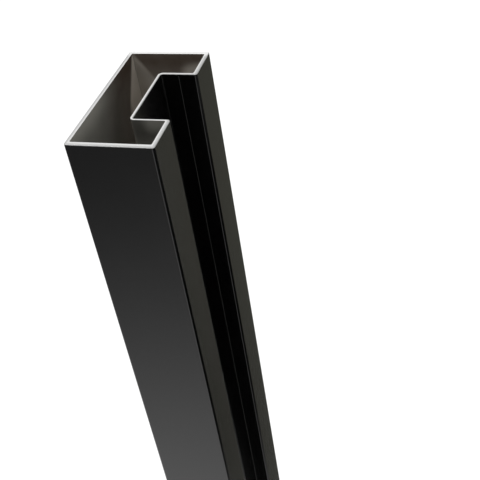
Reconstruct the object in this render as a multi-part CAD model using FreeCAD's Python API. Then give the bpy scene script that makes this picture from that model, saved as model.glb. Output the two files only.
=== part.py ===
"""Slotted end post of a panel fence: one hollow extruded section, sawn to length.

The section is drawn in plan, X across its width and Y through its depth, and pushed up
along Z from the ground end at Z = 0. The slot that takes the panels' ends opens to +X.
"""
import FreeCAD, Part
import math
import os

# Driving dimensions, in millimetres
POST_LENGTH = 2400.0  # from the sawn ground end to the sawn top end
POST_WIDTH = 50.0  # along X, from the plain side to the slot's mouth
POST_DEPTH = 100.0  # along Y, from the front face to the back face
SLOT_WIDTH = 47.0  # clear gap for a panel, along Y
SLOT_DEPTH = 21.4  # from the mouth to the slot's floor, along X
FACE_WALL = 2.8  # front and back walls
SIDE_WALL = 2.3  # plain side, and the end of each flange
SLOT_WALL = 1.4  # the slot's floor and its two sides
CORNER_RADIUS = 1.6  # outside corners, with those of the mouth
ROOT_RADIUS = 1.2  # corners at the slot's floor, on the slot's side
BORE_RADIUS = 0.8  # corners inside the hollow
DRILL_LINE_INSET = 10.9  # from the mouth to the scribed line on each side of the slot
DRILL_LINE_WIDTH = 1.1
DRILL_LINE_DEPTH = 0.25
DEBURR = 0.4  # bevel round the outside of each sawn end

RUN_OUT = 1.0  # how far a cutting shape stands past the ends that it cuts

# Places that follow from the sizes
MOUTH_X = POST_WIDTH / 2
SLOT_FLOOR_X = MOUTH_X - SLOT_DEPTH
SLOT_SIDE_Y = SLOT_WIDTH / 2
FACE_Y = POST_DEPTH / 2

UP = FreeCAD.Vector(0, 0, 1)


def slotted_outline(left, right, floor, face, side):
    """The eight corners of the section, anticlockwise from the front left one."""
    corners = [(left, -face), (right, -face), (right, -side), (floor, -side)]
    mirrored = [(x, -y) for x, y in reversed(corners)]
    return [FreeCAD.Vector(x, y, 0) for x, y in corners + mirrored]


def corner_radii(outer, root):
    """A radius for each corner of slotted_outline: the slot's floor has the root radius."""
    half = [outer, outer, outer, root]
    return half + half[::-1]


def rounded_wire(corners, radii):
    """A closed wire of straight runs, with an arc at each corner."""
    arcs = []
    for i, (corner, radius) in enumerate(zip(corners, radii)):
        back = (corners[i - 1] - corner).normalize()
        ahead = (corners[(i + 1) % len(corners)] - corner).normalize()
        half_angle = back.getAngle(ahead) / 2
        reach = radius / math.tan(half_angle)
        crown = radius / math.sin(half_angle) - radius
        middle = corner + (back + ahead).normalize() * crown
        arcs.append(Part.Arc(corner + back * reach, middle, corner + ahead * reach))
    edges = []
    for i, arc in enumerate(arcs):
        edges += [arc.toShape(), Part.LineSegment(arc.EndPoint, arcs[(i + 1) % len(arcs)].StartPoint).toShape()]
    return Part.Wire(edges)


def solid_bar():
    """The section's outer shape at full length, before it is hollow."""
    corners = slotted_outline(-MOUTH_X, MOUTH_X, SLOT_FLOOR_X, FACE_Y, SLOT_SIDE_Y)
    outline = rounded_wire(corners, corner_radii(CORNER_RADIUS, ROOT_RADIUS))
    return Part.Face(outline).extrude(UP * POST_LENGTH)


def deburred(bar):
    """Breaks the sharp outer edge that the saw leaves at both ends."""
    rims = [edge for edge in bar.Edges if edge.BoundBox.ZLength < DEBURR]
    return bar.makeChamfer(DEBURR, rims)


def hollow():
    """The space inside the walls, which runs right through the post."""
    corners = slotted_outline(
        -MOUTH_X + SIDE_WALL,
        MOUTH_X - SIDE_WALL,
        SLOT_FLOOR_X - SLOT_WALL,
        FACE_Y - FACE_WALL,
        SLOT_SIDE_Y + SLOT_WALL,
    )
    outline = rounded_wire(corners, corner_radii(BORE_RADIUS, ROOT_RADIUS + SLOT_WALL))
    outline.translate(UP * -RUN_OUT)
    return Part.Face(outline).extrude(UP * (POST_LENGTH + 2 * RUN_OUT))


def drill_line(side):
    """A shallow V along one side of the slot, where screws into the panel are started."""
    centre = MOUTH_X - DRILL_LINE_INSET
    surface = side * SLOT_SIDE_Y
    bottom = side * (SLOT_SIDE_Y + DRILL_LINE_DEPTH)
    lip = side * (SLOT_SIDE_Y - DRILL_LINE_DEPTH)
    half = DRILL_LINE_WIDTH / 2
    points = [
        (centre - half, lip),
        (centre - half, surface),
        (centre, bottom),
        (centre + half, surface),
        (centre + half, lip),
    ]
    profile = Part.makePolygon([FreeCAD.Vector(x, y, -RUN_OUT) for x, y in points + points[:1]])
    return Part.Face(profile).extrude(UP * (POST_LENGTH + 2 * RUN_OUT))


def post():
    body = deburred(solid_bar()).cut(hollow())
    return body.cut([drill_line(-1), drill_line(1)])


os.makedirs("parts", exist_ok=True)
post().exportStep("parts/post.step")
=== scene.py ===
"""Dresses the slotted end post: black powder coat outside, bare sawn ends, mill finish inside.

The post is one extruded length. It stands on its ground end at Z = 0, with its slot towards +X.
"""

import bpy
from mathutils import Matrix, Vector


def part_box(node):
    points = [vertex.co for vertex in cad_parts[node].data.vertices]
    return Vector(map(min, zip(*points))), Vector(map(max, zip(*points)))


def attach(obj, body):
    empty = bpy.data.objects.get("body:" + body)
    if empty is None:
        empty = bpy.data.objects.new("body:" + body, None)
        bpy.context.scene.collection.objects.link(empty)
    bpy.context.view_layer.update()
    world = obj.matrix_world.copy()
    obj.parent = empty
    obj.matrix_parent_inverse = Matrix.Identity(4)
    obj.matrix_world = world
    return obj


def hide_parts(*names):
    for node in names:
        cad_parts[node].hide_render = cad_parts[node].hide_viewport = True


bl_info = {
    "name": "Slotted End Post",
    "version": (1, 0, 0),
    "blender": (4, 5, 0),
    "location": "View3D > Sidebar > Fence post",
    "description": "Models a powder-coated slotted end post and the studio that it stands in",
    "category": "Object",
}

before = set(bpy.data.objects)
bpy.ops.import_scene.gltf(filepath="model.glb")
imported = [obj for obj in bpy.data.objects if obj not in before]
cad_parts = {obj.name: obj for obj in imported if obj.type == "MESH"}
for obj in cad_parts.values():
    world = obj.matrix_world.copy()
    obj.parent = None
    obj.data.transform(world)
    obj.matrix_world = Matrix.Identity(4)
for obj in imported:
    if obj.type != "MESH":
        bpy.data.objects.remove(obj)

import math

import bmesh
import bpy
from bpy.props import FloatProperty, FloatVectorProperty, IntProperty, PointerProperty
from mathutils import Vector

NODE = "post"
LOWEST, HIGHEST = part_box(NODE)

# How the mesh is made. Lengths here and below are in metres.
RUN_OUT = 0.001  # how far the bore stands past each end that it cuts
SAME_PLACE = 1e-6  # coordinates that differ by less are the same
LEAST_TURN = 0.5  # sine of the smallest angle that counts as a corner of the outline
MOSTLY = 0.5  # a face looks along an axis if more than this part of its unit normal does
SORT_FROM = (1, 2, 3)  # off the post's planes of symmetry, so that no two distances are the same
ARC = 0.5  # profile of a bevel that follows a circle
DEBURR_STEPS = 2  # faces across the bevel of a sawn end
SMOOTH_BELOW = math.radians(30)  # faces that meet at a smaller angle are shaded as one

# The post's materials, in the order of its slots
COAT, INSIDE, SAWN, FILED = range(4)

# The map that the finishes are baked on
END_ZONE = 0.07  # length at each end that gets most of the map
MAP_MARGIN = 0.01
MAP_CELLS = (  # whether a cell is for the ends, its finishes, and its low and high corners
    (True, (SAWN, FILED), (0.32, 0.56), (1, 1)),
    (True, (INSIDE,), (0.32, 0.25), (1, 0.54)),
    (True, (COAT,), (0.32, 0), (1, 0.23)),
    (False, (COAT,), (0, 0), (0.18, 1)),
    (False, (INSIDE,), (0.2, 0), (0.3, 1)),
)

# The finishes
GRAIN_DEPTH = 0.00002  # relief of the fine grain that each of them has
GLINT_TO_RIM = (0.0017, 0.0011)  # distances in from the outside between which sawn metal darkens, leaving a painted glint inside
BRIGHTER_BACK = (0.043, 0.048)  # places along Y between which sawn metal turns brighter towards the back
SAW_GREY = (0.3, 0.3, 0.3)  # colour that the saw's marks lead towards
TO_BACK = (-0.01, 0.035)  # places along Y between which the inside takes the back's colours

# The cards round the top end. Azimuths are in degrees from -Y towards +X.
BLACK_SPAN = (22, 139)  # azimuths of the black flag
GREY_SPAN = (139, 172)  # azimuths of the grey flag
PALE_SPAN = (172, 355)  # azimuths of the pale curtain
CARD_STEPS = 180  # faces in a card's full circle
HEAD_TO_FOOT = (0.25, 1.05)  # drops from the top end between which an upright card changes shade
WHITE_FROM = 1.3  # drop from which it fades into white
UNDERSIDE_DROP = 0.002  # from the black flag down to its underside
FLAG_GAP = 3  # the black flag's inner radius, in halves of the post's width
FLAG_FADE = 6  # radius from which the flag is black, in inner radii

WHITE, BLACK = (1, 1, 1), (0, 0, 0)
CLIP_START = 0.01  # how near the camera sees


class PostShape(bpy.types.PropertyGroup):
    """Sizes of the section, drawn in plan, and of its sawn ends."""

    slot_width: FloatProperty(
        name="Slot width", description="Clear gap that takes a panel",
        default=0.047, unit="LENGTH")
    slot_depth: FloatProperty(
        name="Slot depth", description="From the mouth to the slot's floor",
        default=0.0214, unit="LENGTH")
    face_wall: FloatProperty(
        name="Face wall", description="Thickness of the front and back walls",
        default=0.0028, unit="LENGTH")
    side_wall: FloatProperty(
        name="Side wall", description="Thickness of the plain side and the flange ends",
        default=0.0023, unit="LENGTH")
    slot_wall: FloatProperty(
        name="Slot wall", description="Thickness of the walls round the slot",
        default=0.0014, unit="LENGTH")
    corner_radius: FloatProperty(
        name="Corner radius", description="Outside corners",
        default=0.0016, unit="LENGTH")
    root_radius: FloatProperty(
        name="Root radius", description="Corners at the slot's floor",
        default=0.0012, unit="LENGTH")
    bore_radius: FloatProperty(
        name="Bore radius", description="Corners inside the hollow",
        default=0.0008, unit="LENGTH")
    line_inset: FloatProperty(
        name="Drill line inset", description="From the mouth to the line scribed in each slot side",
        default=0.0109, unit="LENGTH")
    line_width: FloatProperty(
        name="Drill line width", description="Width of the scribed line",
        default=0.0011, unit="LENGTH")
    line_depth: FloatProperty(
        name="Drill line depth", description="Depth of the scribed line",
        default=0.00025, unit="LENGTH")
    deburr: FloatProperty(
        name="Deburr", description="Bevel round the outside of each sawn end",
        default=0.0004, unit="LENGTH")
    arc_steps: IntProperty(
        name="Arc steps", description="Faces in the arc of each corner",
        default=10, min=1)


class PostFinish(bpy.types.PropertyGroup):
    """Colours and surface grain of the post."""

    coat_colour: FloatVectorProperty(
        name="Coat", description="Powder coat outside",
        default=(0.0009, 0.0009, 0.0009), size=3, subtype="COLOR")
    coat_roughness: FloatProperty(
        name="Coat roughness", description="Spread of the coat's reflections",
        default=0.23, subtype="FACTOR")
    peel_size: FloatProperty(
        name="Peel size", description="Spacing of the coat's orange peel",
        default=0.0013, unit="LENGTH")
    cut_colour: FloatVectorProperty(
        name="Sawn metal", description="Bare metal of the sawn ends",
        default=(0.79, 0.79, 0.785), size=3, subtype="COLOR")
    saw_pitch: FloatProperty(
        name="Saw pitch", description="Spacing of the saw's marks",
        default=0.0007, unit="LENGTH")
    inside_colour: FloatVectorProperty(
        name="Inside", description="Bare mill finish inside the hollow, at the front",
        default=(0.78, 0.765, 0.69), size=3, subtype="COLOR")
    tarnished_colour: FloatVectorProperty(
        name="Tarnished inside", description="The same metal at the back, warmer",
        default=(0.82, 0.765, 0.68), size=3, subtype="COLOR")
    overspray_colour: FloatVectorProperty(
        name="Overspray", description="Mill finish under powder that blew in at the front",
        default=(0.041, 0.039, 0.033), size=3, subtype="COLOR")
    scorched_colour: FloatVectorProperty(
        name="Scorched overspray", description="The same powder at the back, browned in the oven",
        default=(0.047, 0.031, 0.02), size=3, subtype="COLOR")


class StudioLook(bpy.types.PropertyGroup):
    """The floor, the light, the cards that show in the gloss, and the camera."""

    floor_size: FloatProperty(
        name="Floor size", description="Side of the pale floor",
        default=40.0, unit="LENGTH")
    floor_colour: FloatVectorProperty(
        name="Floor", description="Pale floor",
        default=(0.8, 0.8, 0.8), size=3, subtype="COLOR")
    floor_glow: FloatProperty(
        name="Floor glow", description="White added where the camera or gloss shows the floor",
        default=0.2)
    fill: FloatProperty(
        name="Fill", description="Strength of the light from all round",
        default=0.5)
    key: FloatProperty(
        name="Key", description="Strength of the soft sun",
        default=2.2)
    key_turn: FloatVectorProperty(
        name="Key turn", description="Rotation of the soft sun",
        default=[math.radians(angle) for angle in (24, 0, -62)], size=3, subtype="EULER")
    key_spread: FloatProperty(
        name="Key spread", description="Angle that the soft sun fills in the sky",
        default=math.radians(30), subtype="ANGLE")
    card_radius: FloatProperty(
        name="Card radius", description="From the post's middle to the upright cards",
        default=0.6, unit="LENGTH")
    card_rise: FloatProperty(
        name="Card rise", description="From the top end up to the upright cards' upper edge",
        default=0.2, unit="LENGTH")
    card_drop: FloatProperty(
        name="Card drop", description="From the top end down to where these cards are white",
        default=1.85, unit="LENGTH")
    pale_shade: FloatVectorProperty(
        name="Pale curtain", description="Its upper part, which shows in the front face",
        default=(0.19, 0.19, 0.19), size=3, subtype="COLOR")
    grey_shade: FloatVectorProperty(
        name="Grey flag", description="Its upper part, which shows in the flange ends",
        default=(0.189, 0.187, 0.153), size=3, subtype="COLOR")
    grey_foot_shade: FloatVectorProperty(
        name="Grey flag's foot", description="Its lower part",
        default=(0.109, 0.108, 0.09), size=3, subtype="COLOR")
    black_shade: FloatVectorProperty(
        name="Black flag", description="The sloping card that shows in the slot",
        default=(0.002, 0.002, 0.002), size=3, subtype="COLOR")
    flag_reach: FloatProperty(
        name="Flag reach", description="From the post's middle to the black flag's outer edge",
        default=5.2, unit="LENGTH")
    flag_drop: FloatProperty(
        name="Flag drop", description="From the top end down to the black flag's inner edge",
        default=0.7, unit="LENGTH")
    flag_slope: FloatProperty(
        name="Flag slope", description="Fall of the black flag outwards",
        default=math.radians(15), subtype="ANGLE")
    camera_place: FloatVectorProperty(
        name="Camera place", description="From the middle of the top end",
        default=(0.18372, -0.37551, 0.22446), size=3, subtype="XYZ", unit="LENGTH")
    camera_turn: FloatVectorProperty(
        name="Camera turn", description="The camera's rotation",
        default=[math.radians(angle) for angle in (50.7076, 7.2855, 14.5907)],
        size=3, subtype="EULER")
    lens: FloatProperty(
        name="Lens", description="Focal length in millimetres on a 36 mm sensor",
        default=63.9)


class Signal:
    """A number or colour that varies over a surface. Sums on it add Math nodes to its tree."""

    def __init__(self, tree, socket):
        self.tree, self.socket = tree, socket

    def maths(self, operation, *values):
        return self.tree.node("Math", {"operation": operation}, dict(enumerate(values)))

    def __add__(self, other):
        return self.maths("ADD", self, other)

    def __sub__(self, other):
        return self.maths("SUBTRACT", self, other)

    def __rsub__(self, other):
        return self.maths("SUBTRACT", other, self)

    def __mul__(self, other):
        return self.maths("MULTIPLY", self, other)

    __radd__, __rmul__ = __add__, __mul__

    def __abs__(self):
        return self.maths("ABSOLUTE", self)

    def least(self, other):
        return self.maths("MINIMUM", self, other)

    def most(self, other):
        return self.maths("MAXIMUM", self, other)

    def ramp(self, start, end):
        """0 at start and 1 at end, smooth between them and level beyond."""
        ports = {"Value": self, "From Min": start, "From Max": end}
        return self.tree.node("MapRange", {"interpolation_type": "SMOOTHSTEP"}, ports)


class Tree:
    """A node tree, to which one method adds every kind of node."""

    def __init__(self, owner):
        owner.use_nodes = True
        self.nodes, self.links = owner.node_tree.nodes, owner.node_tree.links

    def node(self, kind, settings=None, inputs=None, output=0):
        """Adds a node, sets it up, feeds its sockets and returns one of its outputs."""
        node = self.nodes.new("ShaderNode" + kind)
        for name, value in (settings or {}).items():
            setattr(node, name, value)
        for name, value in (inputs or {}).items():
            self.feed(node.inputs[name], value)
        return Signal(self, node.outputs[output])

    def feed(self, socket, value):
        if isinstance(value, Signal):
            self.links.new(value.socket, socket)
        else:
            socket.default_value = value

    def seen_directly(self):
        """1 on rays from the camera and on those that gloss and glass send on, 0 on the rest."""
        camera, glossy, glass = (
            self.node("LightPath", output=f"Is {kind} Ray")
            for kind in ("Camera", "Glossy", "Transmission"))
        return camera.most(glossy).most(glass)


class Finish(Tree):
    """A material in the making, on its Principled shader."""

    def __init__(self, name, **constants):
        self.material = bpy.data.materials.new(name)
        super().__init__(self.material)
        self.shader = self.nodes["Principled BSDF"]
        for socket, value in constants.items():
            self.set(socket.replace("_", " "), value)

    def set(self, socket, value):
        self.feed(self.shader.inputs[socket], value)

    def place(self, stretch=(1, 1, 1)):
        """The point in the post's own frame, stretched along each axis."""
        point = self.node("TexCoord", output="Object")
        return self.node("VectorMath", {"operation": "MULTIPLY"}, {0: point, 1: stretch})

    def along(self, axis):
        """The point's X, Y or Z, in metres."""
        return self.node("SeparateXYZ", None, {0: self.place()}, output=axis)

    def noise(self, size, detail=2.0, stretch=(1, 1, 1)):
        """Cloudy noise from 0 to 1, with spots of about the given size."""
        ports = {"Vector": self.place(stretch), "Scale": 1 / size, "Detail": detail}
        return self.node("TexNoise", {"noise_dimensions": "3D"}, ports)

    def tint(self, amount, low, high):
        """A colour from low to high, each of them three numbers or a signal."""
        low, high = (end if isinstance(end, Signal) else (*end, 1) for end in (low, high))
        return self.node("Mix", {"data_type": "RGBA"}, {0: amount, 6: low, 7: high}, output=2)

    def emboss(self, height):
        """Raises the surface by the grain's depth where height is 1."""
        ports = {"Height": height, "Distance": GRAIN_DEPTH, "Strength": 1.0}
        self.set("Normal", self.node("Bump", None, ports))


def powder_coat(look):
    """Satin black powder, with a fine orange peel over the extrusion's faint die lines."""
    coat = Finish("black_powder_coat", IOR=1.5)
    peel = coat.noise(look.peel_size)
    die_lines = coat.noise(size=0.0012, detail=1.0, stretch=(1, 1, 0.004))
    clouds = coat.noise(size=0.03)
    colour = Vector(look.coat_colour)
    coat.set("Base Color", coat.tint(clouds, colour * 0.8, colour * 1.2))
    coat.set("Roughness", look.coat_roughness + 0.08 * (clouds - 0.5))
    coat.emboss(peel + 0.3 * die_lines)
    return coat.material


def sawn_metal(look):
    """Bright aluminium with fine saw marks, brighter at the back, and a painted glint inside a
    darker rim.
    """
    metal = Finish("sawn_aluminium", Metallic=1.0)
    marks = metal.noise(look.saw_pitch, stretch=(0.05, 1, 1))
    across, through = metal.along("X"), metal.along("Y")
    inset = (HIGHEST.x - abs(across)).least(HIGHEST.y - abs(through))
    brighter_back = through.ramp(*BRIGHTER_BACK)
    colour = Vector(look.cut_colour)
    bright = metal.tint(brighter_back, colour, colour * 1.26)
    darker_rim = metal.tint(brighter_back, colour * 0.72, colour * 1.24)
    # Painted highlight: each outer wall's sawn face is lighter on its inner part than at its rim, a
    # painted glint
    shade = metal.tint(inset.ramp(*GLINT_TO_RIM), bright, darker_rim)
    metal.set("Base Color", metal.tint(0.18 * (marks - 0.15), shade, SAW_GREY))
    metal.set("Roughness", 0.36 + 0.12 * marks)
    metal.emboss(marks)
    return metal.material


def filed_edge(look):
    """The same metal where a file has broken the edge, duller, and darker as painted shade on the
    bevel.
    """
    metal = Finish("filed_edge", Metallic=1.0)
    marks = metal.noise(size=0.0006)
    colour = Vector(look.cut_colour)
    # Painted shade: the bevel is a darker copy of the sawn metal's colour
    metal.set("Base Color", metal.tint(marks, colour * 0.5, colour * 0.62))
    metal.set("Roughness", 0.4 + 0.15 * marks)
    metal.emboss(marks)
    return metal.material


def mill_finish(look):
    """Dull metal inside, streaked along the post by the die, under powder that blew in, with
    painted light near the mouth.
    """
    metal = Finish("mill_finish", IOR=1.5)
    streaks = metal.noise(size=0.004, detail=3.0, stretch=(1, 1, 0.01))
    # Bare metal deep down, and painted light near the mouth, both make the inside lighter
    bare = bareness_and_painted_light(metal)
    back = metal.along("Y").ramp(*TO_BACK)
    powder = metal.tint(back, look.overspray_colour, look.scorched_colour)
    mill = metal.tint(back, look.inside_colour, look.tarnished_colour)
    metal.set("Base Color", metal.tint(bare, powder, mill))
    metal.set("Roughness", 0.5 - 0.12 * bare + 0.1 * streaks)
    metal.set("Metallic", 0.3 * bare)
    metal.emboss(streaks)
    return metal.material


def bareness_and_painted_light(metal):
    """How light the hollow is: 0 under powder that blew in, more where it missed the depth and is
    bare.

    Its corners are lighter in wedges, and near the mouth at the front, painted light falls on the
    plain side and the front flange. Each patch below is at most as light as its number says. The
    ramps run between places in metres.
    """
    shape = bpy.context.scene.post_shape
    across, through, height = (metal.along(axis) for axis in "XYZ")
    depth = (height - LOWEST.z).least(HIGHEST.z - height)
    from_sides = HIGHEST.x - shape.side_wall - abs(across)
    from_faces = HIGHEST.y - shape.face_wall - abs(through)
    from_corner = from_sides.most(from_faces)
    back_wall = through.ramp(0.0465, 0.047)

    # A sharp wedge down each corner of the plain side, a soft one down each of the flange ends
    sharp = 0.72 * depth - from_corner
    cloud = depth.ramp(0.005, 0.011) * depth.ramp(0.021, 0.013)
    narrow = 0.98 - 0.52 * back_wall - 0.1 * cloud
    narrow = narrow * across.ramp(0.004, 0) * sharp.ramp(-0.002, 0.002)
    narrow = narrow * (1 - 0.25 * back_wall * sharp.ramp(0.008, 0.001))
    soft = 1.5 * depth - from_corner
    wide = 0.4 * across.ramp(0, 0.012) * depth.ramp(0.003, 0.01) * soft.ramp(-0.009, 0.007)
    corners = narrow.most(wide) * from_corner.ramp(0.022, 0.014)

    # Painted light: the plain side lighter towards the front, more so near the rim, and the front
    # flange lighter near the rim
    plain_side_light = 0.33 * through.ramp(0.03, -0.018)
    plain_side_light = plain_side_light + 0.27 * depth.ramp(0.014, 0) * through.ramp(0.014, -0.018)
    plain_side_light = plain_side_light * across.ramp(-0.018, -0.022)
    flange = 0.2 * across.ramp(0.007, 0.015) * through.ramp(-0.02, -0.024)
    flange = flange * depth.ramp(0.012, 0.001)

    # All round, the deeper the barer
    deep = 0.11 * depth.ramp(0.004, 0.02) + 0.08 * depth.ramp(0.02, 0.04)
    deep = deep + 0.67 * depth.ramp(0.06, 0.2)

    clouds = 0.1 * (metal.noise(size=0.012) - 0.5)
    return corners.most(plain_side_light).most(flange).most(deep) + 0.04 * back_wall + clouds


def choose(piece, kind, test):
    """In edit mode, selects the vertices, edges or faces that pass the test and nothing else."""
    bpy.ops.mesh.select_mode(type=kind)
    bpy.ops.mesh.select_all(action="DESELECT")
    mesh = bmesh.from_edit_mesh(piece.data)
    for item in {"VERT": mesh.verts, "EDGE": mesh.edges, "FACE": mesh.faces}[kind]:
        item.select_set(bool(test(item)))
    bmesh.update_edit_mesh(piece.data)


def pick(piece):
    """Selects one piece, in object mode, for the operators that follow."""
    bpy.ops.object.select_all(action="DESELECT")
    piece.select_set(True)
    bpy.context.view_layer.objects.active = piece


def near(a, b):
    return abs(a - b) < SAME_PLACE


def middle(item):
    """The mean place of an edge's or a face's corners."""
    return sum((vertex.co for vertex in item.verts), Vector()) / len(item.verts)


def turns(vertex):
    """Whether a flat outline turns at this vertex, and doesn't just run through it."""
    one, other = (edge.other_vert(vertex).co - vertex.co for edge in vertex.link_edges)
    return one.cross(other).length > LEAST_TURN * one.length * other.length


def slotted_bar(name, low, high, floor, side, outer, root, steps):
    """A solid bar of the slotted section between two corners, with its corners rounded."""
    bpy.ops.object.select_all(action="DESELECT")
    bpy.ops.mesh.primitive_plane_add(size=1)
    bar = bpy.context.object
    bar.name = bar.data.name = name
    bpy.ops.object.mode_set(mode="EDIT")
    bpy.ops.transform.resize(value=(high.x - low.x, high.y - low.y, 1))
    bpy.ops.transform.translate(value=((low.x + high.x) / 2, (low.y + high.y) / 2, low.z))
    slot_edges = (
        ((floor, 0, 0), (1, 0, 0)),
        ((0, side, 0), (0, 1, 0)),
        ((0, -side, 0), (0, 1, 0)),
    )
    for place, normal in slot_edges:
        bpy.ops.mesh.select_all(action="SELECT")
        bpy.ops.mesh.bisect(plane_co=place, plane_no=normal)
    choose(bar, "FACE", lambda face: middle(face).x > floor and abs(middle(face).y) < side)
    bpy.ops.mesh.delete(type="FACE")
    bpy.ops.mesh.select_all(action="SELECT")
    bpy.ops.mesh.dissolve_faces()
    for at_floor, radius in ((True, root), (False, outer)):
        choose(bar, "VERT", lambda vertex: near(vertex.co.x, floor) == at_floor and turns(vertex))
        bpy.ops.mesh.bevel(
            affect="VERTICES", offset=radius, offset_type="OFFSET", segments=steps, profile=ARC,
            clamp_overlap=False)
    bpy.ops.mesh.select_all(action="SELECT")
    bpy.ops.mesh.extrude_region_move(TRANSFORM_OT_translate={"value": (0, 0, high.z - low.z)})
    bpy.ops.mesh.select_all(action="SELECT")
    bpy.ops.mesh.normals_make_consistent(inside=False)
    bpy.ops.object.mode_set(mode="OBJECT")
    return bar


def wear(piece, materials, choice):
    """Gives the piece its materials, and each face the one that choice names."""
    for material in materials:
        piece.data.materials.append(material)
    for face in piece.data.polygons:
        face.material_index = choice(face)


def hollow_section(shape, materials):
    """The post, bored through along its whole length."""
    floor, side = HIGHEST.x - shape.slot_depth, shape.slot_width / 2
    post = slotted_bar(
        "slotted_end_post", LOWEST, HIGHEST, floor, side,
        shape.corner_radius, shape.root_radius, shape.arc_steps)
    wear(post, materials, lambda face: SAWN if abs(face.normal.z) > MOSTLY else COAT)
    deburr(post, shape)
    wall = Vector((shape.side_wall, shape.face_wall, -RUN_OUT))
    bore = slotted_bar(
        "bore", LOWEST + wall, HIGHEST - wall, floor - shape.slot_wall, side + shape.slot_wall,
        shape.bore_radius, shape.root_radius + shape.slot_wall, shape.arc_steps)
    wear(bore, materials, lambda face: INSIDE)
    cut = post.modifiers.new("Hollow", "BOOLEAN")
    cut.operation, cut.solver, cut.object = "DIFFERENCE", "EXACT", bore
    pick(post)
    bpy.ops.object.modifier_apply(modifier=cut.name)
    pick(bore)
    bpy.ops.object.delete()
    return post


def divides(edge, finishes):
    """Whether an edge lies between faces of just these finishes."""
    return {face.material_index for face in edge.link_faces} == finishes


def deburr(post, shape):
    """Breaks the edge between the coat and each sawn end."""
    pick(post)
    bpy.ops.object.mode_set(mode="EDIT")
    choose(post, "EDGE", lambda edge: divides(edge, {COAT, SAWN}))
    bpy.ops.mesh.bevel(
        affect="EDGES", offset=shape.deburr, offset_type="OFFSET", segments=DEBURR_STEPS,
        material=FILED, clamp_overlap=False)
    bpy.ops.object.mode_set(mode="OBJECT")


def on_slot_side(face, side):
    """Whether a face is part of one of the slot's two sides."""
    return near(abs(middle(face).y), side) and abs(face.normal.y) > MOSTLY


def scribe_lines(post, shape):
    """Cuts a shallow V along each side of the slot."""
    side, centre = shape.slot_width / 2, HIGHEST.x - shape.line_inset
    pick(post)
    bpy.ops.object.mode_set(mode="EDIT")
    for x in (centre - shape.line_width / 2, centre, centre + shape.line_width / 2):
        choose(post, "FACE", lambda face: on_slot_side(face, side))
        bpy.ops.mesh.bisect(plane_co=(x, 0, 0), plane_no=(1, 0, 0))
    for way in (-1, 1):
        choose(
            post, "VERT",
            lambda vertex: near(vertex.co.x, centre) and near(vertex.co.y, way * side))
        bpy.ops.transform.translate(value=(0, way * shape.line_depth, 0))
    bpy.ops.object.mode_set(mode="OBJECT")


def lay_out_map(post):
    """Spreads the faces over the map that the finishes are baked on, mostly those near the ends."""
    pick(post)
    post.data.uv_layers.active = post.data.uv_layers.new(name="OFBake")
    bpy.ops.object.mode_set(mode="EDIT")
    for height in (LOWEST.z + END_ZONE, HIGHEST.z - END_ZONE):
        bpy.ops.mesh.select_all(action="SELECT")
        bpy.ops.mesh.bisect(plane_co=(0, 0, height), plane_no=(0, 0, 1))
    put_in_order()
    for ends, finishes, low, high in MAP_CELLS:
        choose(post, "FACE", lambda face: at_end(face) == ends and face.material_index in finishes)
        bpy.ops.uv.smart_project(island_margin=MAP_MARGIN)
        fill_cell(post, low, high)
    bpy.ops.object.mode_set(mode="OBJECT")


def put_in_order():
    """Sorts the mesh by distance from a point, because bisect's new faces come in any order."""
    cursor = bpy.context.scene.cursor
    cursor.location = SORT_FROM
    bpy.ops.mesh.select_all(action="SELECT")
    bpy.ops.mesh.sort_elements(type="CURSOR_DISTANCE", elements={"VERT", "EDGE", "FACE"})
    cursor.location = (0, 0, 0)


def at_end(face):
    """Whether a face lies within the end zone of either end."""
    height = middle(face).z
    return min(height - LOWEST.z, HIGHEST.z - height) < END_ZONE


def fill_cell(piece, low, high):
    """Stretches the selected faces' part of the map over one cell of it."""
    mesh = bmesh.from_edit_mesh(piece.data)
    layer = mesh.loops.layers.uv.verify()
    places = [loop[layer] for face in mesh.faces if face.select for loop in face.loops]
    for axis in range(2):
        least = min(place.uv[axis] for place in places)
        most = max(place.uv[axis] for place in places)
        for place in places:
            share = (place.uv[axis] - least) / (most - least)
            place.uv[axis] = low[axis] + (high[axis] - low[axis]) * share
    bmesh.update_edit_mesh(piece.data)


class FENCE_POST_OT_model(bpy.types.Operator):
    """Models the post and replaces its plain solid"""

    bl_idname = "fence_post.model"
    bl_label = "Model the post"

    def execute(self, context):
        shape, look = context.scene.post_shape, context.scene.post_finish
        materials = [powder_coat(look), mill_finish(look), sawn_metal(look), filed_edge(look)]
        post = hollow_section(shape, materials)
        scribe_lines(post, shape)
        lay_out_map(post)
        pick(post)
        bpy.ops.object.shade_smooth_by_angle(angle=SMOOTH_BELOW)
        weigh = post.modifiers.new("Flat faces stay flat", "WEIGHTED_NORMAL")
        weigh.keep_sharp = True
        bpy.ops.object.modifier_apply(modifier=weigh.name)
        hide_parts(NODE)
        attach(post, "root")
        return {"FINISHED"}


class FENCE_POST_OT_studio(bpy.types.Operator):
    """Sets the floor, the light and the camera"""

    bl_idname = "fence_post.studio"
    bl_label = "Set the studio"

    def execute(self, context):
        look = context.scene.studio_look
        lay_floor(look)
        hang_curtain("pale_curtain", look, PALE_SPAN, look.pale_shade, WHITE)
        hang_curtain("grey_flag", look, GREY_SPAN, look.grey_shade, look.grey_foot_shade)
        hang_flag("black_flag", look, 0, look.black_shade)
        hang_flag("flag_underside", look, UNDERSIDE_DROP, WHITE)
        light_world(context.scene, look)
        hang_lamp(context.scene, look)
        aim_camera(context.scene, look)
        context.scene.view_settings.view_transform = "Standard"
        return {"FINISHED"}


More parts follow.
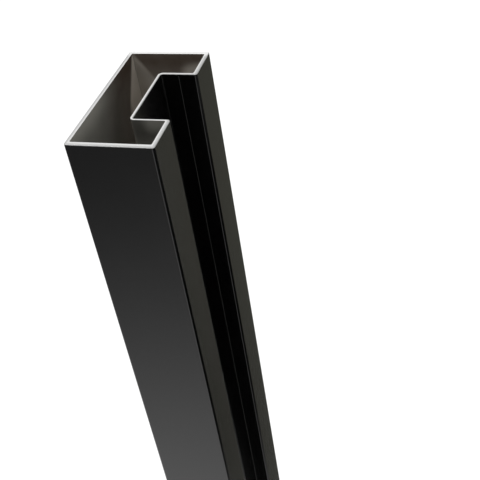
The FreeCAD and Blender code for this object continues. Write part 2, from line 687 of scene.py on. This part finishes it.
def lay_floor(look):
    """A floor that shows nearly white and keeps the post's shadow."""
    bpy.ops.mesh.primitive_plane_add(size=look.floor_size, location=(0, 0, LOWEST.z))
    floor = bpy.context.object
    floor.name = "floor"
    paper = Finish(
        "pale_floor", Base_Color=(*look.floor_colour, 1), Roughness=0.9, Specular_IOR_Level=0,
        Emission_Color=(*WHITE, 1))
    paper.set("Emission Strength", look.floor_glow * paper.seen_directly())
    floor.data.materials.append(paper.material)


def azimuth(place, start):
    """The way from the post to a place, in degrees from -Y towards +X, counted up from start."""
    return (math.degrees(math.atan2(place.x, -place.y)) - start) % 360 + start


def hang_card(name, span, high, low):
    """A card round the post that shows in its gloss alone. high and low are radius and height."""
    bpy.ops.object.select_all(action="DESELECT")
    bpy.ops.mesh.primitive_cone_add(
        vertices=CARD_STEPS, radius1=low[0], radius2=high[0], depth=high[1] - low[1],
        end_fill_type="NOTHING", location=(0, 0, (high[1] + low[1]) / 2))
    bpy.ops.object.transform_apply(location=True)
    card = bpy.context.object
    card.name = name
    start, end = span
    bpy.ops.object.mode_set(mode="EDIT")
    choose(card, "FACE", lambda face: not start < azimuth(middle(face), start) < end)
    bpy.ops.mesh.delete(type="FACE")
    bpy.ops.object.mode_set(mode="OBJECT")
    paint = Finish(name, Base_Color=(*BLACK, 1), Emission_Strength=1, Specular_IOR_Level=0)
    # Sampled as lamps, the cards would light the post through each other
    paint.material.cycles.emission_sampling = "NONE"
    card.data.materials.append(paint.material)
    for rays in ("camera", "diffuse", "transmission", "volume_scatter", "shadow"):
        setattr(card, "visible_" + rays, False)
    return paint


def hang_curtain(name, look, span, head, foot):
    """An upright card round the top end, which fades into white further down."""
    top, bottom = HIGHEST.z + look.card_rise, HIGHEST.z - look.card_drop
    paint = hang_card(name, span, (look.card_radius, top), (look.card_radius, bottom))
    below = HIGHEST.z - paint.along("Z")
    shade = paint.tint(below.ramp(*HEAD_TO_FOOT), head, foot)
    paint.set("Emission Color", paint.tint(below.ramp(WHITE_FROM, look.card_drop), shade, WHITE))


def hang_flag(name, look, sunk, colour):
    """A card that falls away from the post, sunk below the black flag's height.

    It shows in the gloss from above, and hardly where the view falls at the same slope.
    """
    inner, edge = HIGHEST.x * FLAG_GAP, HIGHEST.z - look.flag_drop - sunk
    fall = (look.flag_reach - inner) * math.tan(look.flag_slope)
    paint = hang_card(name, BLACK_SPAN, (inner, edge), (look.flag_reach, edge - fall))
    flat = {0: paint.place(stretch=(1, 1, 0))}
    outward = paint.node("VectorMath", {"operation": "LENGTH"}, flat, output="Value")
    paint.set("Emission Color", paint.tint(outward.ramp(inner, FLAG_FADE * inner), WHITE, colour))


def light_world(scene, look):
    """Even light from all round. The camera, gloss and glass see it as plain white."""
    scene.world = bpy.data.worlds.new("studio")
    sky = Tree(scene.world)
    background = sky.nodes["Background"]
    background.inputs["Color"].default_value = (*WHITE, 1)
    sky.feed(background.inputs["Strength"], look.fill + (1 - look.fill) * sky.seen_directly())


def hang_lamp(scene, look):
    """A soft sun, which gives the post its shadow."""
    lamp = bpy.data.lights.new("key", "SUN")
    lamp.energy, lamp.angle = look.key, look.key_spread
    key = bpy.data.objects.new("key", lamp)
    key.rotation_euler = look.key_turn
    scene.collection.objects.link(key)


def aim_camera(scene, look):
    """A camera above the front, near the top end."""
    lens = bpy.data.cameras.new("camera")
    lens.lens, lens.clip_start = look.lens, CLIP_START
    camera = bpy.data.objects.new("camera", lens)
    camera.location = Vector((0, 0, HIGHEST.z)) + Vector(look.camera_place)
    camera.rotation_euler = look.camera_turn
    scene.collection.objects.link(camera)
    scene.camera = camera


GROUPS = {"post_shape": PostShape, "post_finish": PostFinish, "studio_look": StudioLook}


class FENCE_POST_PT_panel(bpy.types.Panel):
    """Sizes, finishes and studio of the post"""

    bl_idname = "FENCE_POST_PT_panel"
    bl_label = "Slotted end post"
    bl_space_type = "VIEW_3D"
    bl_region_type = "UI"
    bl_category = "Fence post"

    def draw(self, context):
        for group in GROUPS:
            settings = getattr(context.scene, group)
            box = self.layout.box()
            for name in settings.bl_rna.properties.keys():
                if name not in ("rna_type", "name"):
                    box.prop(settings, name)
        self.layout.operator(FENCE_POST_OT_model.bl_idname)
        self.layout.operator(FENCE_POST_OT_studio.bl_idname)


CLASSES = (*GROUPS.values(), FENCE_POST_OT_model, FENCE_POST_OT_studio, FENCE_POST_PT_panel)


def register():
    for one in CLASSES:
        bpy.utils.register_class(one)
    for name, group in GROUPS.items():
        setattr(bpy.types.Scene, name, PointerProperty(type=group))


def unregister():
    for name in GROUPS:
        delattr(bpy.types.Scene, name)
    for one in reversed(CLASSES):
        bpy.utils.unregister_class(one)


def main():
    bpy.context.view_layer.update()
    register()
    bpy.ops.fence_post.model()
    bpy.ops.fence_post.studio()


if __name__ == "__main__":
    main()
